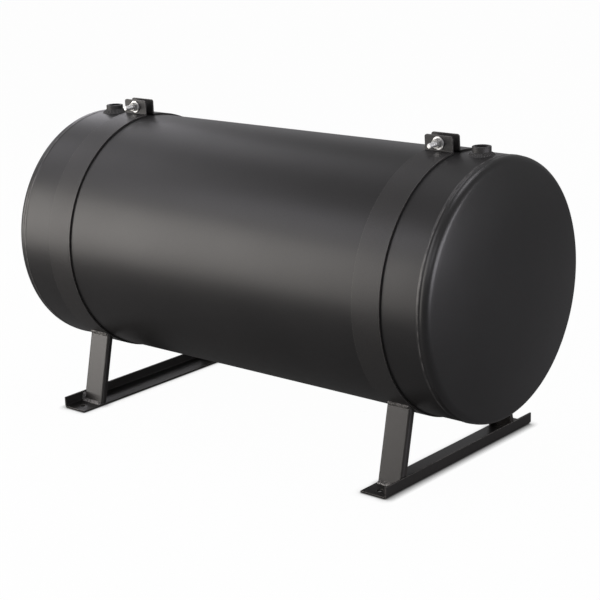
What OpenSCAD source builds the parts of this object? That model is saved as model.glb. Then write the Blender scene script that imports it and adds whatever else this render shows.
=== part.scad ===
// Horizontal hot water cylinder on a bolted-band stand.
// X runs along the tank, +Y is the back, +Z is up.
// The origin is on the floor, below the middle of the tank.

/* [Tank shell] */
// Outside diameter of the rolled shell
tank_d = 400; // [300:5:600]
// Length of the shell, from end seam to end seam
shell_len = 822; // [760:2:1200]
// Thickness of the shell and end plates
plate_t = 3; // [2:0.5:5]
// Clear height under the tank
tank_clearance = 81; // [70:1:200]

/* [Pressed ends] */
// Straight flange of an end, from its seam to the knuckle
end_flange = 5.5; // [4:0.5:40]
// Outside radius of the knuckle
knuckle_r = 12; // [8:1:50]
// Outside radius of the shallow crown
crown_r = 900; // [500:10:2000]

/* [Seam welds] */
// Width of the weld bead over a butt seam
seam_w = 7; // [4:0.5:12]
// Height of the bead above the plate
seam_rise = 0.8; // [0.6:0.1:2.5]
// Gap between the plates at the root of the weld
seam_root = 1; // [0.5:0.5:2]
// Angle of the shell's long seam, measured from the front towards the top
long_seam_angle = 232; // [200:1:250]

/* [Sockets] */
// Outside diameter of a pipe socket
socket_d = 29; // [24:0.5:36]
// Core diameter of the socket's half-inch pipe thread
socket_core_d = 18.6; // [11.4:0.1:20]
// Height of the socket above the top of the shell
socket_stand = 12.5; // [9:0.5:30]
// Length of the socket
socket_len = 21; // [18:1:45]
// Distance from an end seam to the middle of its socket
socket_inset = 28; // [26:1:60]
// Chamfer at the mouth of the thread
socket_chamfer = 1.8; // [1:0.2:2.5]
// Width of the fillet weld round the socket
socket_weld = 5.5; // [4:0.5:7]

/* [Bands] */
// Width of the flat bar that a band is bent from
band_w = 50; // [40:1:60]
// Thickness of the band
band_t = 3; // [2:0.5:5]
// Distance between the middles of the two bands
band_pitch = 643; // [500:1:700]
// Clear gap between the two ears of a band
ear_gap = 14; // [8:1:24]
// Height of an ear above the band's outer face
ear_h = 23.5; // [22:0.5:40]
// Corner radius of an ear
ear_corner = 4; // [2:0.5:10]
// Inside radius where the band turns up into an ear
ear_bend = 1.5; // [1:0.5:3]
// Turn of the left clamp round the tank, from the top towards the front
left_clamp_turn = 0; // [-20:0.5:20]
// Turn of the right clamp round the tank, from the top towards the front
right_clamp_turn = 3; // [-20:0.5:20]

/* [Clamp bolts] */
// Diameter of the clamp bolt
bolt_d = 8; // [6:1:10]
// Height of the bolt above the band's outer face
bolt_rise = 12; // [11.5:0.5:14]
// Length of bolt that stands out of the front ear
bolt_out = 24; // [16:1:40]
// Width of the nut and bolt head across their flats
hex_af = 13; // [10:1:16]
// Thickness of the nut
nut_t = 6.8; // [5:0.2:9]
// Thickness of the bolt head
head_t = 5.3; // [4:0.1:7]
// Outside diameter of a washer
washer_d = 20; // [17:1:20]
// Thickness of a washer
washer_t = 1.6; // [1:0.1:2.5]

/* [Stand] */
// Distance by which a foot rail's end stays inside the side of the tank
rail_end_inset = 5; // [-30:1:10]
// Width of the rail's flat flange on the floor
rail_w = 48; // [44:1:70]
// Height of the rail's upright flange
rail_h = 19; // [16:1:40]
// Thickness of the rail
rail_t = 3; // [2:0.5:5]
// Inside bend radius of the rail
rail_bend = 2; // [1:0.5:4]
// Diameter of the floor bolt holes
floor_hole_d = 9; // [7:0.5:13]
// Distance from a rail's end to its bolt hole
floor_hole_inset = 18; // [12:1:20]
// Width of a leg
leg_w = 45; // [36:1:46]
// Depth of the leg's pressed channel
leg_depth = 10; // [8:1:16]
// Thickness of the leg
leg_t = 2.5; // [2:0.5:4]
// Inside bend radius of the leg
leg_bend = 2; // [1:0.5:3]
// Distance by which a leg's outer face stays inside the side of the tank at the foot
leg_foot_inset = 46; // [42:1:60]
// Lean of a leg towards the tank
leg_lean = 13; // [8:0.5:16]
// Size of the fillet welds on the legs
leg_weld = 4; // [2.5:0.5:5]

/* [Hidden] */
$fn = 144;

paint = [0.16, 0.16, 0.165];
stand_paint = [0.19, 0.185, 0.18];
weld_paint = [0.22, 0.22, 0.225];
zinc = [0.75, 0.75, 0.73];

// The band lies on the shell and the nut on its bolt with these clearances
band_clear = 0.2;
socket_clear = 0.1;
bolt_clear = 0.05;
hole_clear = 0.5;
nut_chamfer = 30;
// Length by which parts of one bent section run into each other
bend_join = 0.05;
eps = 0.01;
// Facets of the tank-sized circles
wide_fn = 360;
// Flats across the low arch of a butt weld's crown
crown_sides = 4;

tank_r = tank_d / 2;
axis_h = tank_r + tank_clearance;
band_x = band_pitch / 2;
band_in_r = tank_r + band_clear;
band_out_r = band_in_r + band_t;
socket_x = shell_len / 2 - socket_inset;
socket_top_r = tank_r + socket_stand;
socket_r = socket_d / 2;
rail_out_x = band_x + band_w / 2;
rail_len = tank_d - 2 * rail_end_inset;
leg_x = rail_out_x - rail_t - leg_w / 2;
leg_foot_y = tank_r - leg_foot_inset;
ear_y = ear_gap / 2 + band_t;

// Where the outer face of a leg meets the band, measured along the leg from the top of the rail
leg_start = [-leg_foot_y, rail_t - axis_h];
leg_dir = [sin(leg_lean), cos(leg_lean)];
leg_reach = let (along = leg_start * leg_dir)
    -along - sqrt(along * along - leg_start * leg_start + band_out_r * band_out_r);

// ---- tank ----

// Turns a profile (radius, length) about the tank's own axis; the length runs to +X
module about_tank_axis() {
    translate([0, 0, axis_h]) rotate([0, 90, 0]) rotate_extrude($fn = wide_fn) children();
}

// V groove between two plates, its root carried below the inner face and its mouth past the outer
module groove_section(over) {
    root = seam_root / 2;
    polygon([
        [tank_r - plate_t - over, -root], [tank_r - plate_t, -root], [tank_r, -seam_w / 2],
        [tank_r + over, -seam_w / 2], [tank_r + over, seam_w / 2],
        [tank_r, seam_w / 2], [tank_r - plate_t, root], [tank_r - plate_t - over, root]
    ]);
}

// Section of a butt weld: the filled groove and the crown above it
module seam_section() {
    groove_section(0);
    polygon([
        for (across = [-1 : 2 / crown_sides : 1])
            [tank_r + seam_rise * (1 - across * across), across * seam_w / 2]
    ]);
}

// Runs a section round the tank at the end seam on the given side
module round_head(side) {
    translate([side * shell_len / 2, 0, 0]) about_tank_axis() children();
}

// Runs a section along the tank at the rolled shell's long seam
module along_shell(length) {
    translate([-length / 2, 0, axis_h]) rotate([-long_seam_angle, 0, 0])
        rotate([90, 0, 90]) linear_extrude(length) rotate(180) children();
}

// Long weld of the rolled shell, from groove to groove and dressed flush under the bands
module long_bead() {
    over = 2 * seam_rise;
    difference() {
        along_shell(shell_len) seam_section();
        for (side = [-1, 1]) {
            round_head(side) groove_section(over);
            translate([side * band_x - band_w / 2 - 1, 0, axis_h]) rotate([0, 90, 0])
                linear_extrude(band_w + 2) difference() {
                    circle(r = tank_r + over, $fn = wide_fn);
                    circle(r = tank_r, $fn = wide_fn);
                }
        }
    }
}

module tank_shell() {
    color(paint) difference() {
        translate([-shell_len / 2, 0, axis_h]) rotate([0, 90, 0]) difference() {
            cylinder(r = tank_r, h = shell_len, $fn = wide_fn);
            translate([0, 0, -1]) cylinder(r = tank_r - plate_t, h = shell_len + 2, $fn = wide_fn);
        }
        for (side = [-1, 1]) {
            round_head(side) groove_section(1);
            translate([side * socket_x, 0, axis_h])
                cylinder(r = socket_r + socket_clear, h = tank_r + socket_stand);
        }
        along_shell(shell_len + 2) groove_section(1);
    }
}

// Section of a solid pressed end, its skin set inwards by inset
module end_section(inset) {
    knuckle_at = [tank_r - knuckle_r, end_flange];
    crown_down = sqrt(pow(crown_r - knuckle_r, 2) - pow(tank_r - knuckle_r, 2));
    crown_at = [0, end_flange - crown_down];
    far = 2 * (knuckle_at - crown_at) + crown_at;
    square([tank_r - inset, end_flange]);
    translate(knuckle_at) circle(r = knuckle_r - inset);
    intersection() {
        translate(crown_at) circle(r = crown_r - inset, $fn = 720);
        polygon([crown_at, far, [0, far[1]]]);
        square([tank_r, tank_r]);
    }
}

module pressed_end(side) {
    color(paint) difference() {
        translate([side * shell_len / 2, 0, 0]) mirror([side < 0 ? 1 : 0, 0, 0])
            about_tank_axis() difference() {
                intersection() {
                    end_section(0);
                    square([tank_r, tank_r]);
                }
                end_section(plate_t);
                translate([-eps, -1]) square([tank_r - plate_t + eps, 1 + eps]);
            }
        round_head(side) groove_section(1);
    }
}

// ---- sockets ----

module socket(side) {
    core_r = socket_core_d / 2;
    color(paint) translate([side * socket_x, 0, axis_h + socket_top_r - socket_len]) difference() {
        cylinder(r = socket_r, h = socket_len);
        translate([0, 0, -1]) cylinder(r = core_r, h = socket_len + 2);
        translate([0, 0, socket_len - socket_chamfer])
            cylinder(r1 = core_r, r2 = core_r + socket_chamfer + 0.5, h = socket_chamfer + 0.5);
    }
}

// Fillet weld that saddles the socket onto the shell
module socket_fillet(side) {
    weld_h = 0.95 * socket_weld;
    sink = 3;
    color(weld_paint) difference() {
        translate([side * socket_x, 0, axis_h + tank_r]) rotate_extrude()
            polygon([
                [socket_r, -sink], [socket_r + socket_weld, -sink],
                [socket_r + socket_weld, 0], [socket_r + 0.45 * socket_weld, 0.5 * weld_h],
                [socket_r + 0.12 * socket_weld, weld_h], [socket_r, weld_h]
            ]);
        translate([-shell_len, 0, axis_h]) rotate([0, 90, 0])
            cylinder(r = tank_r, h = 2 * shell_len, $fn = wide_fn);
    }
}

// ---- bands and their clamps ----

// Half of a band's section: the arc, the turned-up bend and the ear, on the +Y side
module band_half_section() {
    bend_y = ear_y + ear_bend;
    bend_z = sqrt(pow(band_out_r + ear_bend, 2) - bend_y * bend_y);
    bend_at = [bend_y, bend_z];
    span = 2 * band_out_r;
    difference() {
        circle(r = band_out_r, $fn = wide_fn);
        circle(r = band_in_r, $fn = wide_fn);
        polygon([[0, 0], 2 * (bend_at - [bend_join, 0]), [-span, span], [-span, -span], [0, -span]]);
    }
    intersection() {
        difference() {
            translate(bend_at) circle(r = ear_bend + band_t);
            translate(bend_at) circle(r = ear_bend);
        }
        polygon([bend_at, [0, bend_z], [0, 0]]);
    }
    translate([ear_gap / 2, bend_z]) square([band_t, band_out_r + ear_h - bend_z]);
}

// Waste outside the rounded top corner of an ear
module ear_corner_waste(edge) {
    translate([edge * (band_w / 2 - ear_corner), 0, band_out_r + ear_h - ear_corner])
        rotate([90, 0, 0]) translate([0, 0, -2 * ear_y]) linear_extrude(4 * ear_y) difference() {
            translate([edge > 0 ? 0 : -2 * ear_corner, 0]) square(2 * ear_corner);
            circle(r = ear_corner);
        }
}

// Puts a piece in the middle of its band, turned round the tank with it
module at_clamp(side) {
    translate([side * band_x, 0, axis_h])
        rotate([side < 0 ? left_clamp_turn : right_clamp_turn, 0, 0]) children();
}

module band(side) {
    color(stand_paint) at_clamp(side) difference() {
        translate([-band_w / 2, 0, 0]) rotate([90, 0, 90]) linear_extrude(band_w) {
            band_half_section();
            mirror([1, 0]) band_half_section();
        }
        for (edge = [-1, 1]) ear_corner_waste(edge);
        translate([0, 2 * ear_y, band_out_r + bolt_rise]) rotate([90, 0, 0])
            cylinder(r = bolt_d / 2 + hole_clear, h = 4 * ear_y);
    }
}

// Puts a piece on the clamp bolt's axis with its foot at y and its height towards the front
module on_bolt(side, y) {
    at_clamp(side) translate([0, y, band_out_r + bolt_rise]) rotate([90, 0, 0]) children();
}

// Hexagon with both ends turned down to its flats
module turned_hex(height, turned_bottom) {
    across_corners = hex_af / cos(30);
    turn = (across_corners - hex_af) / 2 * tan(nut_chamfer);
    wide = hex_af / 2 + height / tan(nut_chamfer);
    intersection() {
        rotate(30) cylinder(d = across_corners, h = height, $fn = 6);
        cylinder(r1 = wide, r2 = hex_af / 2 - eps, h = height + turn * eps);
        if (turned_bottom) cylinder(r1 = hex_af / 2 - eps, r2 = wide, h = height);
    }
}

// Bolt with its hexagon head behind the rear washer and its point at the front
module clamp_bolt(side) {
    head_y = ear_y + washer_t;
    color(zinc) {
        on_bolt(side, head_y) cylinder(d = bolt_d, h = head_y + ear_y + bolt_out);
        on_bolt(side, head_y) mirror([0, 0, 1]) turned_hex(head_t, false);
    }
}

module clamp_nut(side) {
    color(zinc) on_bolt(side, -ear_y - washer_t) difference() {
        turned_hex(nut_t, false);
        translate([0, 0, -1]) cylinder(r = bolt_d / 2 + bolt_clear, h = nut_t + 2);
    }
}

module washer(side, y) {
    color(zinc) on_bolt(side, y) difference() {
        cylinder(d = washer_d, h = washer_t);
        translate([0, 0, -1]) cylinder(r = bolt_d / 2 + hole_clear / 2, h = washer_t + 2);
    }
}

// ---- stand ----

// Section of the right-hand rail: upright flange on the outside, flat flange on the floor
module rail_section() {
    outer_bend = rail_bend + rail_t;
    bend_at = [rail_out_x - outer_bend, outer_bend];
    translate([rail_out_x - rail_w, 0]) square([rail_w - outer_bend, rail_t]);
    translate([rail_out_x - rail_t, outer_bend]) square([rail_t, rail_h - outer_bend]);
    intersection() {
        translate(bend_at) difference() {
            circle(r = outer_bend);
            circle(r = rail_bend);
        }
        translate([bend_at[0], 0]) square(outer_bend);
    }
}

module rail(side) {
    color(stand_paint) mirror([side < 0 ? 1 : 0, 0, 0]) difference() {
        translate([0, rail_len / 2, 0]) rotate([90, 0, 0]) linear_extrude(rail_len) rail_section();
        for (end = [-1, 1])
            translate([band_x, end * (rail_len / 2 - floor_hole_inset), -1])
                cylinder(d = floor_hole_d, h = rail_t + 2);
    }
}

// Outline of a leg's section with its web towards -Y, set inwards by inset
module leg_outline(inset) {
    outer_bend = leg_bend + leg_t;
    half = leg_w / 2;
    for (edge = [-1, 1]) translate([edge * (half - outer_bend), outer_bend]) circle(r = outer_bend - inset);
    translate([-half + outer_bend, inset]) square([leg_w - 2 * outer_bend, leg_depth - inset]);
    translate([-half + inset, outer_bend]) square([leg_w - 2 * inset, leg_depth - outer_bend]);
}

// Section of a leg: a shallow channel, open towards the tank's middle line
module leg_section() {
    difference() {
        leg_outline(0);
        leg_outline(leg_t);
        translate([-leg_w / 2 + leg_t, leg_depth - leg_t]) square([leg_w - 2 * leg_t, 2 * leg_t]);
    }
}

// Moves a piece to a front leg's foot on the right, its height along the leaning leg
module at_front_foot() {
    translate([leg_x, -leg_foot_y, rail_t]) rotate([-leg_lean, 0, 0]) children();
}

// Copies a right front piece to any corner of the stand
module at_corner(side, end) {
    mirror([side < 0 ? 1 : 0, 0, 0]) mirror([0, end > 0 ? 1 : 0, 0]) children();
}

// Waste above the band's outer face and below the top of the rail
module leg_waste() {
    translate([band_x - band_w, 0, axis_h]) rotate([0, 90, 0])
        cylinder(r = band_out_r, h = 2 * band_w, $fn = wide_fn);
    translate([leg_x - leg_w, -rail_len, -rail_len]) cube([2 * leg_w, 2 * rail_len, rail_len + rail_t]);
}

// Runs a section up the right front leg, past both of its ends
module along_leg() {
    spare = 2 * leg_depth;
    at_front_foot() translate([0, 0, -spare]) linear_extrude(leg_reach + 2 * spare) children();
}

module leg(side, end) {
    color(stand_paint) at_corner(side, end) difference() {
        along_leg() leg_section();
        leg_waste();
        rail(1);
    }
}

// Bead along the top of a leg, between its outer face and the band
module leg_top_weld(side, end) {
    flat_w = leg_w - 2 * leg_bend;
    color(weld_paint) at_corner(side, end) difference() {
        at_front_foot() translate([-flat_w / 2, 0, leg_reach]) rotate([0, 90, 0])
            cylinder(r = leg_weld, h = flat_w);
        along_leg() leg_outline(0);
        at_front_foot() translate([-leg_w, eps, 0]) cube([2 * leg_w, 2 * leg_depth, 2 * leg_reach]);
        leg_waste();
    }
}

// Bead across the foot of a leg and up the corner between the leg and the upright flange
module foot_weld(side, end) {
    color(weld_paint) at_corner(side, end) difference() {
        union() {
            translate([leg_x - leg_w / 2 + leg_bend, -leg_foot_y, rail_t]) rotate([0, 90, 0])
                cylinder(r = leg_weld, h = leg_w - leg_bend);
            intersection() {
                at_front_foot() translate([leg_w / 2, 0, -leg_weld])
                    cylinder(r = leg_weld, h = rail_h + leg_weld);
                translate([0, -rail_len / 2, 0])
                    cube([rail_out_x - rail_t, rail_len / 2, rail_h - rail_t / 2]);
            }
        }
        along_leg() leg_outline(0);
        leg_waste();
        rail(1);
    }
}

tank_shell();
pressed_end(-1);  // left_head
pressed_end(1);  // right_head
color(weld_paint) round_head(-1) seam_section();  // left_head_weld
color(weld_paint) round_head(1) seam_section();  // right_head_weld
color(weld_paint) long_bead();  // shell_seam_weld
socket(-1);  // left_socket
socket(1);  // right_socket
socket_fillet(-1);  // left_socket_weld
socket_fillet(1);  // right_socket_weld
band(-1);  // left_band
band(1);  // right_band
clamp_bolt(-1);  // left_clamp_bolt
clamp_bolt(1);  // right_clamp_bolt
clamp_nut(-1);  // left_clamp_nut
clamp_nut(1);  // right_clamp_nut
washer(-1, -ear_y);  // left_front_washer
washer(1, -ear_y);  // right_front_washer
washer(-1, ear_y + washer_t);  // left_rear_washer
washer(1, ear_y + washer_t);  // right_rear_washer
rail(-1);  // left_rail
rail(1);  // right_rail
leg(-1, -1);  // left_front_leg
leg(-1, 1);  // left_rear_leg
leg(1, -1);  // right_front_leg
leg(1, 1);  // right_rear_leg
leg_top_weld(-1, -1);  // left_front_leg_top_weld
leg_top_weld(-1, 1);  // left_rear_leg_top_weld
leg_top_weld(1, -1);  // right_front_leg_top_weld
leg_top_weld(1, 1);  // right_rear_leg_top_weld
foot_weld(-1, -1);  // left_front_foot_weld
foot_weld(-1, 1);  // left_rear_foot_weld
foot_weld(1, -1);  // right_front_foot_weld
foot_weld(1, 1);  // right_rear_foot_weld
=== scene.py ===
import math

import bmesh
import bpy
from mathutils import Matrix, Vector, noise


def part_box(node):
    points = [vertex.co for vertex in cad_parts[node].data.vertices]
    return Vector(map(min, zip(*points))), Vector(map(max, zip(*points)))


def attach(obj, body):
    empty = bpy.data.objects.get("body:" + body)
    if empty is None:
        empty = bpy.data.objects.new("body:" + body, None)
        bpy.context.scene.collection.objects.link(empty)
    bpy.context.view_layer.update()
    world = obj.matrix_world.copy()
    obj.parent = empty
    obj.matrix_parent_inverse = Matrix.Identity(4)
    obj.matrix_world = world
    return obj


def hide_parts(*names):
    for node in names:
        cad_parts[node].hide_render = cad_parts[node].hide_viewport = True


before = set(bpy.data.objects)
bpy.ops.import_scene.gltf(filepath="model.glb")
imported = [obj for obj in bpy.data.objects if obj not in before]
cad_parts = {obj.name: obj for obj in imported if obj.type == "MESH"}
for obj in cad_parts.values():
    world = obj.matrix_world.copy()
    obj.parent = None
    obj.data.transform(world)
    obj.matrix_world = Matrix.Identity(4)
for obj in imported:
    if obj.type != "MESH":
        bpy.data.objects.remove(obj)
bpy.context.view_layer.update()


# Rolled shell
# One sheet of 3 mm steel rolled to a tube, its edges bevelled for welding and a hole cut for each socket.
# Rolling leaves faint flats that only the reflections show. The tank is stoved in satin charcoal enamel.
SIDES = {"left": -1, "right": 1}
PLATE = 0.003
GROOVE_MOUTH = 0.0035
GROOVE_ROOT = 0.0005
SHELL_PITCH = 0.007
SHELL_GRAIN = (1.5, 0.06, 0.06)
SHELL_WAVER = 0.00012
WELD_DRAW = 0.0001
WELD_DRAW_REACH = 0.014
HOLE_SLACK = 0.0001
HOLE_FIELD = 0.0215
HOLE_RINGS = 3
ON_THE_LINE = 1.001
shell_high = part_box("tank_shell")[1]
head_low, head_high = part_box("right_head")
AXIS_Z = (head_low.z + head_high.z) / 2
TANK_R = (head_high.z - head_low.z) / 2
SEAM_X = shell_high.x + GROOVE_ROOT
TOP = math.pi / 2 + math.tau
long_seam_low, long_seam_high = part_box("shell_seam_weld")
long_seam_at = (long_seam_low + long_seam_high) / 2
LONG_SEAM = math.atan2(long_seam_at.z - AXIS_Z, -long_seam_at.y) + math.tau
socket_low, socket_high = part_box("right_socket")
SOCKET_X = (socket_low.x + socket_high.x) / 2
SOCKET_R = (socket_high.x - socket_low.x) / 2


def on_tank(x, angle, radius):
    """Point at an angle round the tank, from its front over its top."""
    return Vector((x, -radius * math.cos(angle), AXIS_Z + radius * math.sin(angle)))


def spaced(stops, pitch):
    """Values that pass through every stop and are at most a pitch apart."""
    values = [stops[0]]
    for start, end in zip(stops, stops[1:]):
        parts = math.ceil((end - start) / pitch)
        values += [start + (end - start) * part / parts for part in range(1, parts + 1)]
    return values


def waver(metal, grain, depth, seed):
    """Sinks each point along its normal by soft noise, because worked plate is never quite true."""
    metal.normal_update()
    for vert in metal.verts:
        spot = Vector(place / size for place, size in zip(vert.co, grain)) + Vector((seed, seed, 0))
        vert.co -= vert.normal * depth * (0.5 + 0.5 * noise.noise(spot))


def hole_rings(metal, loop, hole_x, radius):
    """Rings of points that lead from a square loop in to the round hole, skinned from ring to ring."""
    made = []
    rings = [loop]
    for ring in range(1, HOLE_RINGS + 1):
        placed = []
        for corner in loop:
            away = Vector((corner.co.x - hole_x, corner.co.y))
            spot = away.lerp(away.normalized() * (SOCKET_R + HOLE_SLACK), ring / HOLE_RINGS)
            turn = TOP + math.asin(spot.y / radius)
            placed.append(metal.verts.new(on_tank(hole_x + spot.x, turn, radius)))
        made += placed
        rings.append(placed)
    for outer, inner in zip(rings, rings[1:]):
        for here in range(len(loop)):
            metal.faces.new((outer[here - 1], outer[here], inner[here], inner[here - 1]))
    return made


def shell_skin(metal, radius, end_x, seam_turn):
    """One face of the rolled sheet, drawn in a little by its end welds: its points in order."""
    xs = [-end_x] + SHELL_ROWS[1:-1] + [end_x]
    turns = [LONG_SEAM - math.tau + seam_turn] + SHELL_TURNS[1:-1] + [LONG_SEAM - seam_turn]
    grid = []
    for x in xs:
        drawn = WELD_DRAW * math.exp(-(((SEAM_X - abs(x)) / WELD_DRAW_REACH) ** 2))
        grid.append([metal.verts.new(on_tank(x, turn, radius - drawn)) for turn in turns])
    made = [vert for row in grid for vert in row]
    columns = [column for column, turn in enumerate(turns) if abs(turn - TOP) < FIELD_TURN * ON_THE_LINE]
    first, last = columns[0], columns[-1]
    cut_out = set()
    for way in SIDES.values():
        hole_x = way * SOCKET_X
        rows = [row for row, x in enumerate(xs) if abs(x - hole_x) < HOLE_FIELD * ON_THE_LINE]
        low, high = rows[0], rows[-1]
        loop = [grid[row][first] for row in range(low, high)]
        loop += [grid[high][column] for column in range(first, last)]
        loop += [grid[row][last] for row in range(high, low, -1)]
        loop += [grid[low][column] for column in range(last, first, -1)]
        cut_out |= {(row, column) for row in range(low, high) for column in range(first, last)}
        made += hole_rings(metal, loop, hole_x, radius)
    for row in range(len(xs) - 1):
        for column in range(len(turns) - 1):
            if (row, column) not in cut_out:
                corners = ((row, column), (row + 1, column), (row + 1, column + 1), (row, column + 1))
                metal.faces.new([grid[there][turn] for there, turn in corners])
    return made


FIELD_TURN = HOLE_FIELD / TANK_R
field_low = SOCKET_X - HOLE_FIELD
field_high = SOCKET_X + HOLE_FIELD
mouth_x = SEAM_X - GROOVE_MOUTH
mouth_turn = GROOVE_MOUTH / TANK_R
SHELL_ROWS = spaced([-mouth_x, -field_high, -field_low, field_low, field_high, mouth_x], SHELL_PITCH)
turn_stops = [LONG_SEAM - math.tau + mouth_turn, TOP - FIELD_TURN, TOP + FIELD_TURN, LONG_SEAM - mouth_turn]
SHELL_TURNS = spaced(turn_stops, SHELL_PITCH / TANK_R)
shell = bmesh.new()
inside_r = TANK_R - PLATE
outside = shell_skin(shell, TANK_R, mouth_x, mouth_turn)
inside = shell_skin(shell, inside_r, shell_high.x, GROOVE_ROOT / inside_r)
behind = dict(zip(outside, inside))
rims = [edge for edge in shell.edges if edge.is_boundary and edge.verts[0] in behind]
for rim in rims:
    start, end = rim.verts
    shell.faces.new((start, end, behind[end], behind[start]))
bmesh.ops.delete(shell, geom=[vert for vert in shell.verts if not vert.link_faces], context="VERTS")
bmesh.ops.recalc_face_normals(shell, faces=shell.faces)
waver(shell, SHELL_GRAIN, SHELL_WAVER, seed=3)


def feed(tree, socket, value):
    """Links a node's output to a socket, or sets the socket to a plain value."""
    if hasattr(value, "is_output"):
        tree.links.new(value, socket)
    else:
        socket.default_value = value


def wired(tree, kind, **inputs):
    """Adds a node to a material and feeds its inputs by name."""
    made = tree.nodes.new(kind)
    for label, value in inputs.items():
        feed(tree, made.inputs[label.replace("_", " ")], value)
    return made


def worked(tree, operation, first, second):
    """Adds a sum or a product of two values to a material."""
    made = tree.nodes.new("ShaderNodeMath")
    made.operation = operation
    feed(tree, made.inputs[0], first)
    feed(tree, made.inputs[1], second)
    return made.outputs[0]


def mottle(tree, place, size, detail, low, high, spread=0.2):
    """Noise patches about the given size in metres, spread from low to high."""
    patches = wired(tree, "ShaderNodeTexNoise", Vector=place, Scale=1 / size, Detail=detail)
    between = wired(tree, "ShaderNodeMapRange", Value=patches.outputs["Fac"],
                    From_Min=0.5 - spread, From_Max=0.5 + spread, To_Min=low, To_Max=high)
    return between.outputs["Result"]


def blended(tree, share, first, second):
    """A colour that runs from the first to the second by a share."""
    mix = tree.nodes.new("ShaderNodeMix")
    mix.data_type = "RGBA"
    feed(tree, mix.inputs["Factor"], share)
    for socket, colour in ((mix.inputs[6], first), (mix.inputs[7], second)):
        feed(tree, socket, (*colour, 1) if isinstance(colour, tuple) else colour)
    return mix.outputs[2]


CLOUD = 0.12
GRAIN = 0.0016
SATIN_DRIFT = 0.15
SATIN_SHIFT = 0.012
SPECKLE = 0.0018
PEEL_PER_METRE = 420
PEEL_DEPTH = 0.0004


def enamel(name, tone, satin, sheen, peel=0.09, scuff_and_highlight=None, scuff_and_highlight_size=0.004):
    """Stoved enamel with soft clouds, fine grain and a little orange peel; a scuff colour lightens it in
    spots, for rubbed paint and, on the end welds' crests and on rounded edges, a painted highlight.
    """
    paint = bpy.data.materials.new(name)
    paint.use_nodes = True
    tree = paint.node_tree
    shader = tree.nodes["Principled BSDF"]
    place = wired(tree, "ShaderNodeTexCoord").outputs["Object"]
    clouds = mottle(tree, place, CLOUD, 4, 0.9, 1.1)
    grain = mottle(tree, place, GRAIN, 1, 0.86, 1.14)
    tinted = wired(tree, "ShaderNodeVectorMath", Vector=tone)
    tinted.operation = "SCALE"
    feed(tree, tinted.inputs["Scale"], worked(tree, "MULTIPLY", clouds, grain))
    colour = tinted.outputs["Vector"]
    # Patches of the scuff colour: rubbed paint, and on weld crests and rounded edges a painted highlight.
    if scuff_and_highlight:
        rubbed_and_highlit = mottle(tree, place, scuff_and_highlight_size, 3, 0.0, 1.0, spread=0.12)
        colour = blended(tree, rubbed_and_highlit, colour, scuff_and_highlight)
    feed(tree, shader.inputs["Base Color"], colour)
    drift = mottle(tree, place, SATIN_DRIFT, 2, satin - SATIN_SHIFT, satin + SATIN_SHIFT)
    speckle = mottle(tree, place, SPECKLE, 2, 0.92, 1.08)
    feed(tree, shader.inputs["Roughness"], worked(tree, "MULTIPLY", drift, speckle))
    shader.inputs["Specular IOR Level"].default_value = sheen
    skin = wired(tree, "ShaderNodeTexNoise", Vector=place, Scale=PEEL_PER_METRE, Detail=2)
    bump = wired(tree, "ShaderNodeBump", Strength=peel, Distance=PEEL_DEPTH, Height=skin.outputs["Fac"])
    feed(tree, shader.inputs["Normal"], bump.outputs["Normal"])
    return paint


def finished(name, metal, materials, stands_for, crease=32):
    """Makes a piece of the metal, in its materials, that stands for a CAD part."""
    mesh = bpy.data.meshes.new(name)
    metal.to_mesh(mesh)
    metal.free()
    for material in materials:
        mesh.materials.append(material)
    mesh.shade_smooth()
    mesh.set_sharp_from_angle(angle=math.radians(crease))
    piece = bpy.data.objects.new(name, mesh)
    bpy.context.scene.collection.objects.link(piece)
    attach(piece, "root")
    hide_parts(stands_for)
    return piece


tank_enamel = enamel("charcoal_enamel", (0.018, 0.0175, 0.0175), satin=0.38, sheen=0.42)
finished("rolled_shell", shell, [tank_enamel], "tank_shell")


# Pressed ends
# Two discs of the same steel, each pressed to a shallow crown with a tight knuckle and a short flange.
# They butt against the shell's bevelled ends. Their enamel takes a little more gloss, and is a darker copy
# of the shell's: painted shade that keeps their faces dark under the right-hand softbox.
KNUCKLE_R = 0.012
CROWN_R = 0.9
KNUCKLE_STEPS = 12
CROWN_STEPS = 26
END_STEPS = 288
END_GRAIN = (0.08, 0.07, 0.07)
END_WAVER = 0.0003


def turned(rows, steps, axis, closed):
    """Skins rings of (height, radius) about an axis; a radius may be a function of angle and height."""
    metal = bmesh.new()
    rings = []
    for height, radius in rows:
        ring = []
        for step in range(steps):
            angle = math.tau * step / steps
            reach = radius(angle, height) if callable(radius) else radius
            point = Vector((reach * math.cos(angle), reach * math.sin(angle), height))
            ring.append(metal.verts.new(axis @ point))
        rings.append(ring)
    for ring, after in zip(rings, rings[1:] + ([rings[0]] if closed else [])):
        for step in range(steps):
            metal.faces.new((ring[step - 1], ring[step], after[step], after[step - 1]))
    bmesh.ops.remove_doubles(metal, verts=metal.verts, dist=1e-7)
    bmesh.ops.delete(metal, geom=[edge for edge in metal.edges if edge.is_wire], context="EDGES")
    bmesh.ops.recalc_face_normals(metal, faces=metal.faces)
    return metal


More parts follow.
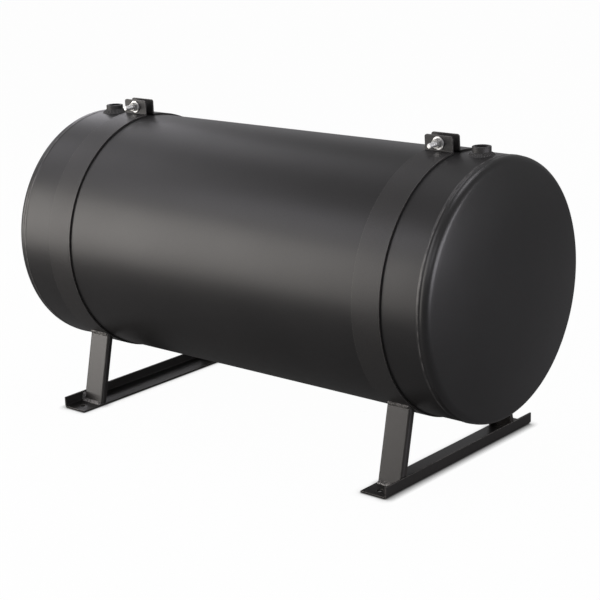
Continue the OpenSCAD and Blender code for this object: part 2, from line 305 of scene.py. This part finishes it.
def end_skin(inset, start_x):
    """Height and radius of one skin of a pressed end, from its flange to the middle of its crown."""
    crown_x = head_high.x - CROWN_R
    knuckle_at = TANK_R - KNUCKLE_R
    rise = math.sqrt((CROWN_R - KNUCKLE_R) ** 2 - knuckle_at ** 2)
    tangent = math.atan2(knuckle_at, rise)
    bend = KNUCKLE_R - inset
    rows = [(start_x, TANK_R - inset)]
    for step in range(KNUCKLE_STEPS + 1):
        angle = math.pi / 2 - (math.pi / 2 - tangent) * step / KNUCKLE_STEPS
        rows.append((crown_x + rise + bend * math.cos(angle), knuckle_at + bend * math.sin(angle)))
    for step in range(1, CROWN_STEPS + 1):
        angle = tangent * (1 - step / CROWN_STEPS)
        rows.append((crown_x + (CROWN_R - inset) * math.cos(angle), (CROWN_R - inset) * math.sin(angle)))
    return rows


# The ends' enamel is darker than the shell's, painted shade for faces that the right-hand softbox would
# light.
shaded_end_enamel = enamel("shaded_pressed_end_enamel", (0.0135, 0.0132, 0.0132), satin=0.34, sheen=0.58)
end_rows = end_skin(0, SEAM_X + GROOVE_MOUTH) + end_skin(PLATE, SEAM_X + GROOVE_ROOT)[::-1]
for side, way in SIDES.items():
    along_tank = Matrix(((0, 0, way, 0), (0, 1, 0, 0), (1, 0, 0, AXIS_Z), (0, 0, 0, 1)))
    head = turned(end_rows, END_STEPS, along_tank, closed=True)
    waver(head, END_GRAIN, END_WAVER, seed=11 + way)
    finished(f"{side}_pressed_end", head, [shaded_end_enamel], f"{side}_head")


# Seam welds
# Butt welds of the shell to its ends and along its lower back, laid in crescents that overlap.
# The long weld is ground flush where a band crosses it. All are painted over; the end welds' crests are
# lighter, for thin rubbed paint and a painted highlight.
BEAD_STEP = 0.00055
BEAD_ACROSS = 8
RIPPLE_PITCH = 0.0023
RIPPLE_BOW = 0.8
RIPPLE_DRIFT = 1.2
RIPPLE_DRIFT_SIZE = 0.02
SEAM_CROWN = 0.00028
SEAM_RIPPLE = 0.00016
CROWN_DRIFT = 0.0002
TOE_SINK = 0.00025
TOE_LAP = 0.0003
TOE_DRIFT = 0.0004
TOE_DRIFT_SIZE = 0.03
CREST = (5, 6)
WELD_CREASE = 60
weld_enamel = enamel("weld_enamel", (0.024, 0.0235, 0.0235), satin=0.33, sheen=0.4)
# The crests of the end welds are lighter in broken patches: thin, rubbed paint, and a painted highlight
# along them.
worn_and_highlit_crest = enamel(
    "worn_and_highlit_weld_crest", (0.03, 0.029, 0.029), satin=0.35, sheen=0.45,
    scuff_and_highlight=(0.11, 0.107, 0.105), scuff_and_highlight_size=0.012
)


def out_of_tank(turn):
    """Direction out of the tank at an angle round it."""
    return on_tank(0, turn, 1) - on_tank(0, turn, 0)


def toe_width(spot):
    """Half the width of a seam's crown, which laps the mouth of its groove unevenly."""
    return GROOVE_MOUTH + TOE_LAP + TOE_DRIFT * noise.noise(spot)


def bead_row(root, toes, out, crown, ripple, travel, seed, pitch=RIPPLE_PITCH):
    """Points across a weld: its buried root, then a crown of crescents from toe to toe."""
    first, second = toes
    drift = RIPPLE_DRIFT * noise.noise(root / RIPPLE_DRIFT_SIZE + Vector((seed, 0, 0)))
    row = [root]
    for step in range(BEAD_ACROSS + 1):
        share = step / BEAD_ACROSS
        across = 2 * share - 1
        crescent = 0.5 + 0.5 * math.cos(math.tau * (travel / pitch + RIPPLE_BOW * across * across + drift))
        arch = math.sin(math.pi * share)
        row.append(first.lerp(second, share) + out * arch * (crown + ripple * crescent))
    return row


def lay_bead(metal, rows, closed, crest=()):
    """Skins the rows of a weld, caps it unless it is closed, and gives its crest the second material."""
    rings = [[metal.verts.new(point) for point in row] for row in rows]
    for ring, after in zip(rings, rings[1:] + ([rings[0]] if closed else [])):
        for here in range(len(ring)):
            face = metal.faces.new((ring[here - 1], ring[here], after[here], after[here - 1]))
            face.material_index = int(here in crest)
    if not closed:
        metal.faces.new(rings[0])
        metal.faces.new(rings[-1])
    bmesh.ops.recalc_face_normals(metal, faces=metal.faces)


def weld_piece(name, bead, materials, stands_for):
    """Finishes a weld, whose crescents shade smoothly into each other."""
    finished(name, bead, materials, stands_for, crease=WELD_CREASE)


stations = round(math.tau * TANK_R / BEAD_STEP)
for side, way in SIDES.items():
    rows = []
    for station in range(stations):
        turn = math.tau * station / stations
        out = out_of_tank(turn)
        spot = out * (TANK_R / TOE_DRIFT_SIZE) + Vector((way * 5, 0, 0))
        width = toe_width(spot)
        crown = SEAM_CROWN + TOE_SINK + CROWN_DRIFT * noise.noise(spot * 0.5)
        toes = [on_tank(way * SEAM_X + edge * width, turn, TANK_R - TOE_SINK) for edge in (-1, 1)]
        root = on_tank(way * SEAM_X, turn, TANK_R - PLATE)
        rows.append(bead_row(root, toes, out, crown, SEAM_RIPPLE, turn * TANK_R, way))
    seam = bmesh.new()
    lay_bead(seam, rows, closed=True, crest=CREST)
    weld_piece(f"{side}_end_seam", seam, [weld_enamel, worn_and_highlit_crest], f"{side}_head_weld")

BAND_GROUND = 0.026
GROUND_UNDER = 0.0001
band_low, band_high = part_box("right_band")
BAND_X = (band_low.x + band_high.x) / 2
out = out_of_tank(LONG_SEAM)
beside = Vector((1, 0, 0)).cross(out)
half_seam = SEAM_X - GROOVE_MOUTH
stations = round(2 * half_seam / BEAD_STEP)
rows = []
for station in range(stations + 1):
    x = half_seam * (2 * station / stations - 1)
    width = toe_width(Vector((x / TOE_DRIFT_SIZE, 9, 0)))
    ground = abs(abs(x) - BAND_X) < BAND_GROUND
    crown = TOE_SINK - GROUND_UNDER if ground else TOE_SINK + SEAM_CROWN
    ripple = 0 if ground else SEAM_RIPPLE
    middle = on_tank(x, LONG_SEAM, TANK_R - TOE_SINK)
    toes = (middle - beside * width, middle + beside * width)
    root = on_tank(x, LONG_SEAM, TANK_R - PLATE)
    rows.append(bead_row(root, toes, out, crown, ripple, x, 4))
seam = bmesh.new()
lay_bead(seam, rows, closed=False)
weld_piece("shell_long_seam", seam, [weld_enamel], "shell_seam_weld")


# Pipe sockets
# Turned half-inch sockets of mild steel with a parallel thread, open at the top.
# They stand through the top of the shell near its ends, fillet welded all round and enamelled by brush.
THREAD_PITCH = 0.001814
THREAD_DEPTH = 0.00115
THREAD_STEPS = 8
CORE_R = 0.0093
MOUTH_CHAMFER = 0.0005
RIM_ROUND = 0.0011
RIM_STEPS = 3
SOCKET_STEPS = 96
SOCKET_GRAIN = (0.006, 0.006, 0.005)
SOCKET_WAVER = 0.0004
FILLET_REACH = {"left": 0.0074, "right": 0.0062}
FILLET_RISE = {"left": 0.0058, "right": 0.0046}
FILLET_MEAN = 0.003
FILLET_PITCH = 0.0042
FILLET_HOLLOW = -0.0006
FILLET_RIPPLE = 0.0009
FILLET_SWELL = 0.2
FILLET_BITE = 0.0002
FILLET_ROOT = 0.0012
FILLET_TOE = 0.0006


def thread(crest, depth, pitch):
    """Radius of a helical thread at an angle and a height, cut away from its crest by its depth."""
    def radius(angle, height):
        turn = (height / pitch - angle / math.tau) % 1
        return crest + depth * (1 - abs(2 * turn - 1))
    return radius


SOCKET_TALL = socket_high.z - socket_low.z
THREADED = SOCKET_TALL - MOUTH_CHAMFER
socket_rows = [(0, SOCKET_R)]
for step in range(RIM_STEPS + 1):
    angle = math.pi / 2 * step / RIM_STEPS
    rim_r = SOCKET_R - RIM_ROUND * (1 - math.cos(angle))
    socket_rows.append((SOCKET_TALL - RIM_ROUND * (1 - math.sin(angle)), rim_r))
socket_rows += [(SOCKET_TALL, CORE_R + MOUTH_CHAMFER), (THREADED, CORE_R)]
tapped = thread(CORE_R, THREAD_DEPTH, THREAD_PITCH)
turns = round(THREADED / THREAD_PITCH * THREAD_STEPS)
socket_rows += [(THREADED * (1 - (step + 1) / turns), tapped) for step in range(turns)]
socket_enamel = enamel("socket_enamel", (0.036, 0.035, 0.034), satin=0.5, sheen=0.4, peel=0.3)
stations = round(math.tau * (SOCKET_R + FILLET_MEAN) / BEAD_STEP)
for side, way in SIDES.items():
    upright = Matrix.Translation((way * SOCKET_X, 0, socket_low.z))
    socket = turned(socket_rows, SOCKET_STEPS, upright, closed=True)
    waver(socket, SOCKET_GRAIN, SOCKET_WAVER, seed=40 + way)
    finished(f"{side}_pipe_socket", socket, [socket_enamel], f"{side}_socket")

    rows = []
    for station in range(stations):
        turn = math.tau * station / stations
        facing = Vector((math.cos(turn), math.sin(turn), 0))
        spot = facing * 1.6 + Vector((0, 0, way * 3))
        reach = FILLET_REACH[side] * (1 + FILLET_SWELL * noise.noise(spot))
        rise = FILLET_RISE[side] * (1 + FILLET_SWELL * noise.noise(spot * 1.7))
        wall = SOCKET_R - FILLET_BITE
        points = []
        for away, lift in ((wall, -FILLET_ROOT), (wall, rise), (SOCKET_R + reach, -FILLET_TOE)):
            y = away * facing.y
            on_shell = AXIS_Z + math.sqrt(TANK_R ** 2 - y ** 2)
            points.append(Vector((way * SOCKET_X + away * facing.x, y, on_shell + lift)))
        out = (facing + Vector((0, 0, 1))).normalized()
        rows.append(bead_row(
            points[0], points[1:], out, FILLET_HOLLOW, FILLET_RIPPLE, turn * SOCKET_R, way * 2, FILLET_PITCH
        ))
    fillet = bmesh.new()
    lay_bead(fillet, rows, closed=True)
    weld_piece(f"{side}_socket_fillet", fillet, [socket_enamel], f"{side}_socket_weld")


# Clamp bands
# Two lengths of 50 by 3 mm flat bar bent round the shell, their ends turned up into drilled ears.
# The bar keeps slight bends from rolling. Its rounded edges are lighter: paint rubbed along them, and a
# painted highlight.
BAR_EDGE = 0.00045
BAR_GRAIN = (0.3, 0.045, 0.045)
BAR_WAVER = 0.00035
FLAT = math.radians(0.2)
SHARP = math.radians(30)


def metal_of(node):
    """A copy of a CAD part with the split corners of its mesh joined."""
    metal = bmesh.new()
    metal.from_mesh(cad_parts[node].data)
    bmesh.ops.remove_doubles(metal, verts=metal.verts, dist=2e-6)
    return metal


def soften(metal, edge):
    """Rounds the sharp edges of a part and gives them its second material."""
    bmesh.ops.dissolve_limit(metal, angle_limit=FLAT, verts=metal.verts, edges=metal.edges)
    sharp = [each for each in metal.edges if each.calc_face_angle(0) > SHARP]
    rounded = bmesh.ops.bevel(
        metal, geom=sharp, offset=edge, segments=2, profile=0.5, affect="EDGES", clamp_overlap=False
    )
    for face in metal.faces:
        face.material_index = 0
    for face in rounded["faces"]:
        face.material_index = 1


def with_even_shade(piece):
    """Lets the flat faces lead the shading, so that the rounded edges stay crisp."""
    even = piece.modifiers.new("even_shade", "WEIGHTED_NORMAL")
    even.keep_sharp = True
    even.weight = 80


band_enamel = enamel("band_enamel", (0.03, 0.029, 0.0285), satin=0.4, sheen=0.4)
# Lighter enamel on the rounded edges: rubbed paint, and a painted highlight along the edge lines.
worn_and_highlit_band_edge = enamel(
    "rubbed_and_highlit_band_edge", (0.055, 0.052, 0.05), satin=0.36, sheen=0.6, scuff_and_highlight=(0.15, 0.14, 0.13)
)
for side, way in SIDES.items():
    bar = metal_of(f"{side}_band")
    soften(bar, BAR_EDGE)
    waver(bar, BAR_GRAIN, BAR_WAVER, seed=20 + way)
    band = finished(f"{side}_clamp_band", bar, [band_enamel, worn_and_highlit_band_edge], f"{side}_band")
    with_even_shade(band)


# Clamp bolts, nuts and washers
# M8 bolts and nuts in bright zinc plate, pushed through from the back and drawn up at the front.
# A washer lies under each head and each nut, and the thread stands well clear of the nut.
ACROSS_FLATS = 0.013
BOLT_R = 0.004
BOLT_PITCH = 0.00125
BOLT_THREAD_DEPTH = -0.0006
BOLT_STEPS = 48
HEX_STEPS = 12
HEX_CHAMFER = math.radians(30)
HEX_CREASE = 20
HEAD_TALL = 0.0053
HEAD_FACE_INSET = 0.0004
TIP_REACH = 0.0232
TIP_CHAMFER = 0.0008
TIP_TAPER = 0.0010
NUT_TALL = 0.0068
NUT_BORE_R = BOLT_R + 0.0002
NUT_SINK = 0.0007
NUT_SINK_R = BOLT_R + 0.0008
NUT_THROAT_R = BOLT_R + 0.0001
WASHER_HALF = 0.0008
WASHER_EDGE = 0.0003
WASHER_HOLE_R = BOLT_R + 0.00025
SPANGLE = 0.0015
SPANGLE_SHINE = 0.0011


def hexagon_rows(start, seat, tall):
    """Rows of a hexagon that stands on its seat, turned down to its flats at its outer end."""
    def radius(angle, height):
        within = (angle + math.pi / 6) % (math.pi / 3) - math.pi / 6
        flat = ACROSS_FLATS / 2 / math.cos(within)
        depth = tall - abs(height - seat)
        return min(flat, ACROSS_FLATS / 2 + max(depth, 0) / math.tan(HEX_CHAMFER))
    return [(start + tall * step / HEX_STEPS, radius) for step in range(HEX_STEPS + 1)]


def zinc_plate(name, dull, bright):
    """Zinc plate: steel that runs from a dull to a bright tone in small spangles."""
    plate = bpy.data.materials.new(name)
    plate.use_nodes = True
    tree = plate.node_tree
    shader = tree.nodes["Principled BSDF"]
    place = wired(tree, "ShaderNodeTexCoord").outputs["Object"]
    spangle = mottle(tree, place, SPANGLE, 3, 0.0, 1.0)
    feed(tree, shader.inputs["Base Color"], blended(tree, spangle, dull, bright))
    feed(tree, shader.inputs["Roughness"], mottle(tree, place, SPANGLE_SHINE, 2, 0.3, 0.48))
    shader.inputs["Metallic"].default_value = 0.92
    return plate


bright_zinc = zinc_plate("bright_zinc", (0.74, 0.74, 0.73), (0.9, 0.9, 0.89))
# The nuts take a darker copy of the zinc, painted shade for facets that face away from the light.
shaded_nut_zinc = zinc_plate("shaded_nut_zinc", (0.24, 0.24, 0.235), (0.42, 0.42, 0.41))
rolled_thread = thread(BOLT_R, BOLT_THREAD_DEPTH, BOLT_PITCH)
for side in SIDES:
    front_low, front_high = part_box(f"{side}_front_washer")
    rear_low, rear_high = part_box(f"{side}_rear_washer")
    rear_at = (rear_low + rear_high) / 2
    span = (front_low + front_high) / 2 - rear_at
    forward = span.normalized()
    level = Vector((1, 0, 0))
    upward = forward.cross(level)
    through = Matrix.Translation(rear_at) @ Matrix((level, upward, forward)).transposed().to_4x4()

    washer_r = (front_high.x - front_low.x) / 2
    shoulder = WASHER_HALF - WASHER_EDGE
    washer_face = [(shoulder, WASHER_HOLE_R), (WASHER_HALF, WASHER_HOLE_R + WASHER_EDGE)]
    washer_face += [(WASHER_HALF, washer_r - WASHER_EDGE), (shoulder, washer_r)]
    for end, middle in (("rear", 0.0), ("front", span.length)):
        rows = [(middle - height, radius) for height, radius in washer_face]
        rows += [(middle + height, radius) for height, radius in washer_face[::-1]]
        washer = turned(rows, BOLT_STEPS, through, closed=True)
        finished(f"{side}_{end}_round_washer", washer, [bright_zinc], f"{side}_{end}_washer")

    nut_seat = span.length + WASHER_HALF
    nut_top = nut_seat + NUT_TALL
    rows = [(nut_seat, NUT_BORE_R), (nut_seat, ACROSS_FLATS / 2)]
    rows += hexagon_rows(nut_seat, nut_seat, NUT_TALL)
    rows += [(nut_top, NUT_SINK_R), (nut_top - NUT_SINK, NUT_THROAT_R)]
    nut = turned(rows, BOLT_STEPS, through, closed=True)
    finished(f"{side}_hexagon_nut", nut, [shaded_nut_zinc], f"{side}_clamp_nut", crease=HEX_CREASE)

    bolt_seat = -WASHER_HALF
    bolt_back = bolt_seat - HEAD_TALL
    tip = span.length + TIP_REACH
    shank = tip - TIP_CHAMFER + WASHER_HALF
    turns = round(shank / BOLT_PITCH * THREAD_STEPS)
    rows = [(bolt_back, 0), (bolt_back, ACROSS_FLATS / 2 - HEAD_FACE_INSET)]
    rows += hexagon_rows(bolt_back, bolt_seat, HEAD_TALL)
    rows += [(bolt_seat + shank * step / turns, rolled_thread) for step in range(turns + 1)]
    rows += [(tip, BOLT_R - TIP_TAPER), (tip, 0)]
    bolt = turned(rows, BOLT_STEPS, through, closed=False)
    finished(f"{side}_hexagon_bolt", bolt, [bright_zinc], f"{side}_clamp_bolt", crease=HEX_CREASE)


# Foot rails
# Angles folded from 3 mm hot-rolled strip, with a flat foot to bolt down and an upright outer flange.
# They are brushed over mill scale with a darker copy of the legs' enamel, painted shade for faces that the
# right-hand softbox would light.
# Their rounded edges are lighter: enamel rubbed through, and a painted highlight along them.
RAIL_EDGE = 0.0006
RAIL_PITCH = 0.02
RAIL_GRAIN = (0.07, 0.09, 0.07)
RAIL_WAVER = 0.0003
# Darker than the legs' enamel: painted shade that keeps the rails' outer faces dark under the right-hand
# softbox.
shaded_rail_enamel = enamel("shaded_rail_enamel", (0.02, 0.019, 0.018), satin=0.4, sheen=0.42)
# Lighter enamel on the rounded edges of rails and legs: rubbed paint, and a painted highlight along the
# edges.
worn_and_highlit_stand_edge = enamel(
    "rubbed_and_highlit_stand_edge", (0.07, 0.066, 0.062), satin=0.45, sheen=0.4, scuff_and_highlight=(0.16, 0.15, 0.14)
)


def cross_cut(metal, pitch):
    """Cuts a rail's faces across at even steps along its length, so that they can waver."""
    places = [vert.co.y for vert in metal.verts]
    for cut in spaced([min(places), max(places)], pitch)[1:-1]:
        whole = metal.verts[:] + metal.edges[:] + metal.faces[:]
        bmesh.ops.bisect_plane(metal, geom=whole, plane_co=(0, cut, 0), plane_no=(0, 1, 0))


for side, way in SIDES.items():
    strip = metal_of(f"{side}_rail")
    soften(strip, RAIL_EDGE)
    cross_cut(strip, RAIL_PITCH)
    waver(strip, RAIL_GRAIN, RAIL_WAVER, seed=30 + way)
    rail = finished(f"{side}_foot_rail", strip, [shaded_rail_enamel, worn_and_highlit_stand_edge], f"{side}_rail")
    with_even_shade(rail)


# Legs
# Shallow channels pressed from 2.5 mm sheet, in the stand's enamel, which the rails take in a darker shaded
# copy; their edges are lighter from rubbed paint and a painted highlight.
# Each leans in from its rail, and is coped at the top to the round of the band that it is welded to.
LEG_EDGE = 0.0004
ENDS = {"front": -1, "rear": 1}
stand_enamel = enamel("stand_enamel", (0.025, 0.0232, 0.0218), satin=0.36, sheen=0.44)
for side in SIDES:
    for end in ENDS:
        channel = metal_of(f"{side}_{end}_leg")
        soften(channel, LEG_EDGE)
        coats = [stand_enamel, worn_and_highlit_stand_edge]
        leg = finished(f"{side}_{end}_channel_leg", channel, coats, f"{side}_{end}_leg")
        with_even_shade(leg)


# Stand welds
# Fillets across the top and the foot of each leg, and up the corner between the leg and the flange.
# They are laid by hand in coarse crescents, and the enamel is thin and rubbed on them.
LEAN = math.radians(13)
WELD_LEG = 0.0042
STAND_PITCH = 0.0034
STAND_CROWN = 0.0006
STAND_RIPPLE = 0.0008
STAND_BURY = 0.0008
STAND_SINK = 0.0002
RUN_IN = 0.002
RUN_IN_SIZE = 0.45
SWELL = 0.14
SWELL_SIZE = 0.008
LEAST_STATIONS = 8
FOOT_INSET = 0.002
FOOT_TOE = 1.1
CORNER_TOE = 0.9
CORNER_SHORT = 0.0012
leg_low, leg_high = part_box("right_front_leg")
rail_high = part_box("right_rail")[1]
top_weld_low, top_weld_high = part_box("right_front_leg_top_weld")
BAND_R = (band_high.y - band_low.y) / 2
AXIS = Vector((0, 0, AXIS_Z))
foot_at = Vector((0, leg_low.y, leg_low.z))
uphill = Vector((0, math.sin(LEAN), math.cos(LEAN)))
face_out = Vector((0, -math.cos(LEAN), math.sin(LEAN)))
from_axis = foot_at - AXIS
behind_foot = from_axis.dot(uphill)
leg_reach = -behind_foot - math.sqrt(behind_foot ** 2 - from_axis.length_squared + BAND_R ** 2)
coped_at = foot_at + uphill * leg_reach
up_band = Vector((1, 0, 0)).cross(coped_at - AXIS).normalized()
if up_band.y > 0:
    up_band = -up_band
bare_weld = enamel(
    "stand_weld_enamel", (0.05, 0.048, 0.046), satin=0.3, sheen=0.5,
    scuff_and_highlight=(0.26, 0.25, 0.24), scuff_and_highlight_size=0.0035
)


def straight_bead(metal, start, finish, toe_lines, seed):
    """Lays a tapering fillet from start to finish; each toe line is a step from the root to that toe."""
    length = (finish - start).length
    stations = max(LEAST_STATIONS, round(length / BEAD_STEP))
    out = (toe_lines[0] + toe_lines[1]).normalized()
    rows = []
    for station in range(stations + 1):
        share = station / stations
        root = start.lerp(finish, share)
        nearer_end = max(0, min(share, 1 - share) * length)
        taper = min(1, RUN_IN_SIZE + (1 - RUN_IN_SIZE) * math.sqrt(nearer_end / RUN_IN))
        swell = taper * (1 + SWELL * noise.noise(root / SWELL_SIZE + Vector((0, 0, seed))))
        toes = [root + line * swell for line in toe_lines]
        buried = root - out * STAND_BURY
        crown = STAND_CROWN * taper
        ripple = STAND_RIPPLE * taper
        rows.append(bead_row(buried, toes, out, crown, ripple, share * length, seed, STAND_PITCH))
    lay_bead(metal, rows, closed=False)


def at_corner(bead, way, facing):
    """Mirrors a weld of the right front leg to another leg's corner of the stand."""
    bmesh.ops.transform(bead, matrix=Matrix.Diagonal((way, -facing, 1, 1)), verts=bead.verts)
    bmesh.ops.recalc_face_normals(bead, faces=bead.faces)


for side, way in SIDES.items():
    for end, facing in ENDS.items():
        seed = way * 3 + facing
        top_fillet = bmesh.new()
        sunk = coped_at - face_out * STAND_SINK
        start = Vector((top_weld_low.x, sunk.y, sunk.z))
        finish = Vector((top_weld_high.x, sunk.y, sunk.z))
        straight_bead(top_fillet, start, finish, (-uphill * WELD_LEG, up_band * WELD_LEG), seed)
        at_corner(top_fillet, way, facing)
        weld_piece(f"{side}_{end}_leg_top_fillet", top_fillet, [bare_weld], f"{side}_{end}_leg_top_weld")

        foot_fillet = bmesh.new()
        start = foot_at + Vector((leg_low.x + FOOT_INSET, 0, -STAND_SINK))
        finish = foot_at + Vector((leg_high.x, 0, -STAND_SINK))
        forward = Vector((0, -WELD_LEG * FOOT_TOE, 0))
        straight_bead(foot_fillet, start, finish, (uphill * WELD_LEG, forward), seed + 0.5)
        start = foot_at + Vector((leg_high.x, 0, 0))
        finish = start + uphill * (rail_high.z - leg_low.z - CORNER_SHORT)
        sideways = Vector((-WELD_LEG * CORNER_TOE, 0, 0))
        straight_bead(foot_fillet, start, finish, (sideways, forward * CORNER_TOE), seed + 0.7)
        at_corner(foot_fillet, way, facing)
        weld_piece(f"{side}_{end}_foot_fillet", foot_fillet, [bare_weld], f"{side}_{end}_foot_weld")


# Studio floor
# A wide white floor under the stand, plain and matt. Its glow is darkened close to the stand by ambient
# occlusion, a painted contact shadow.
# The camera sees it white, and reflections see it grey, so that the dark enamel stays dark.
FLOOR_HALF = 9.0
FLOOR_DROP = 0.0005
PAINTED_SHADOW_REACH = 0.015
floor_mesh = bpy.data.meshes.new("studio_floor")
corners = [(x * FLOOR_HALF, y * FLOOR_HALF, -FLOOR_DROP) for x, y in ((-1, -1), (1, -1), (1, 1), (-1, 1))]
floor_mesh.from_pydata(corners, [], [(0, 1, 2, 3)])
floor = bpy.data.objects.new("studio_floor", floor_mesh)
bpy.context.scene.collection.objects.link(floor)


def seen_share(tree, by_camera, by_gloss):
    """How much of the pale studio a ray sees: more for the camera, less for reflections."""
    rays = wired(tree, "ShaderNodeLightPath")
    total = worked(tree, "MULTIPLY", rays.outputs["Is Camera Ray"], by_camera)
    for kind in ("Is Glossy Ray", "Is Transmission Ray"):
        total = worked(tree, "ADD", total, worked(tree, "MULTIPLY", rays.outputs[kind], by_gloss))
    return total


white = bpy.data.materials.new("studio_white")
white.use_nodes = True
tree = white.node_tree
matt = tree.nodes["Principled BSDF"]
matt.inputs["Roughness"].default_value = 0.9
matt.inputs["Specular IOR Level"].default_value = 0.0
pale = wired(tree, "ShaderNodeMapRange", Value=seen_share(tree, 1.0, 0.2), To_Min=0.07, To_Max=0.8)
feed(tree, matt.inputs["Base Color"], pale.outputs["Result"])
# Painted contact shadow: ambient occlusion darkens the floor's glow close to the stand.
near = wired(tree, "ShaderNodeAmbientOcclusion", Distance=PAINTED_SHADOW_REACH)
painted_contact_shadow = worked(tree, "MULTIPLY", near.outputs["AO"], near.outputs["AO"])
glow = wired(tree, "ShaderNodeEmission", Color=(1, 1, 1, 1), Strength=painted_contact_shadow)
blend = tree.nodes.new("ShaderNodeMixShader")
feed(tree, blend.inputs[0], seen_share(tree, 0.98, 0.05))
feed(tree, blend.inputs[1], matt.outputs[0])
feed(tree, blend.inputs[2], glow.outputs[0])
feed(tree, tree.nodes["Material Output"].inputs["Surface"], blend.outputs[0])
floor_mesh.materials.append(white)


# Studio light
# A big warm softbox stands to the front left with a low strip beside it, and a large cool one to the right.
# Weaker cool ones fill in from above, behind and beside, and the room is an even pale grey.
TANK_MIDDLE = (0, 0, AXIS_Z)
LEFT_UPPER = (-0.3, 0, 0.45)
LEFT_LOWER = (-0.5, 0, 0.25)
WARM = (1.0, 0.955, 0.915)
COOL = (0.965, 0.94, 1.0)
ROOM_LEVEL = 0.2


def softbox(name, place, aim, width, height, watts, tint):
    """Hangs a softbox at a place and turns it to its aim."""
    lamp = bpy.data.lights.new(name, "AREA")
    lamp.color = tint
    lamp.shape = "RECTANGLE"
    lamp.size = width
    lamp.size_y = height
    lamp.energy = watts
    box = bpy.data.objects.new(name, lamp)
    box.location = place
    box.rotation_euler = (Vector(aim) - Vector(place)).to_track_quat("-Z", "Y").to_euler()
    bpy.context.scene.collection.objects.link(box)


softbox("front_softbox", (-2.35, -2.35, 0.7), TANK_MIDDLE, 1.9, 2.15, 67, WARM)
softbox("low_strip", (-0.95, -1.1, 0.09), LEFT_LOWER, 1.5, 0.16, 2.3, WARM)
softbox("upper_softbox", (-1.75, -1.8, 2.25), TANK_MIDDLE, 1.6, 0.9, 12, COOL)
softbox("side_softbox", (-0.5, -2.8, 1.8), TANK_MIDDLE, 1.0, 1.3, 5.5, COOL)
softbox("camera_side_softbox", (1.3, -2.6, 2.0), TANK_MIDDLE, 1.6, 1.0, 8.5, COOL)
softbox("rear_softbox", (-2.0, 2.2, 1.1), TANK_MIDDLE, 2.0, 1.2, 2, COOL)
softbox("edge_softbox", (-2.05, 1.15, 1.2), LEFT_UPPER, 0.6, 0.6, 2.5, COOL)
softbox("high_left_softbox", (-1.8, 0.8, 2.1), TANK_MIDDLE, 0.9, 0.9, 2.5, COOL)
softbox("left_softbox", (-1.6, -0.2, 1.5), LEFT_UPPER, 0.7, 0.7, 2.4, COOL)
softbox("overhead_softbox", (0.1, 0.3, 2.5), TANK_MIDDLE, 0.9, 1.2, 10, COOL)
softbox("right_softbox", (3.0, 0.05, 0.74), TANK_MIDDLE, 2.3, 1.3, 42, COOL)

world = bpy.data.worlds.new("studio_room")
bpy.context.scene.world = world
world.use_nodes = True
tree = world.node_tree
room = tree.nodes["Background"]
room.inputs["Color"].default_value = (1, 1, 1, 1)
level = wired(tree, "ShaderNodeMapRange", Value=seen_share(tree, 1.0, 0.09), To_Min=ROOM_LEVEL, To_Max=1.0)
feed(tree, room.inputs["Strength"], level.outputs["Result"])


# Camera
# Stands to the front right, above the tank's top, with a long lens.
# It looks down a little, with a slight tilt.
CAMERA_PLACE = Vector((1.6956, -1.9396, 0.9346))
YAW, PITCH, TILT = (math.radians(angle) for angle in (40.708, 15.916, -1.947))
LENS = 97.92
SENSOR = 36.0
forward = Vector((-math.sin(YAW) * math.cos(PITCH), math.cos(YAW) * math.cos(PITCH), -math.sin(PITCH)))
level_right = Vector((math.cos(YAW), math.sin(YAW), 0))
level_up = level_right.cross(forward)
right = math.cos(TILT) * level_right + math.sin(TILT) * level_up
up = math.cos(TILT) * level_up - math.sin(TILT) * level_right
camera_data = bpy.data.cameras.new("camera")
camera_data.lens = LENS
camera_data.sensor_width = SENSOR
camera = bpy.data.objects.new("camera", camera_data)
turn = Matrix((right, up, -forward)).transposed().to_4x4()
camera.matrix_world = Matrix.Translation(CAMERA_PLACE) @ turn
bpy.context.scene.collection.objects.link(camera)
bpy.context.scene.camera = camera

bpy.context.scene.view_settings.view_transform = "Standard"
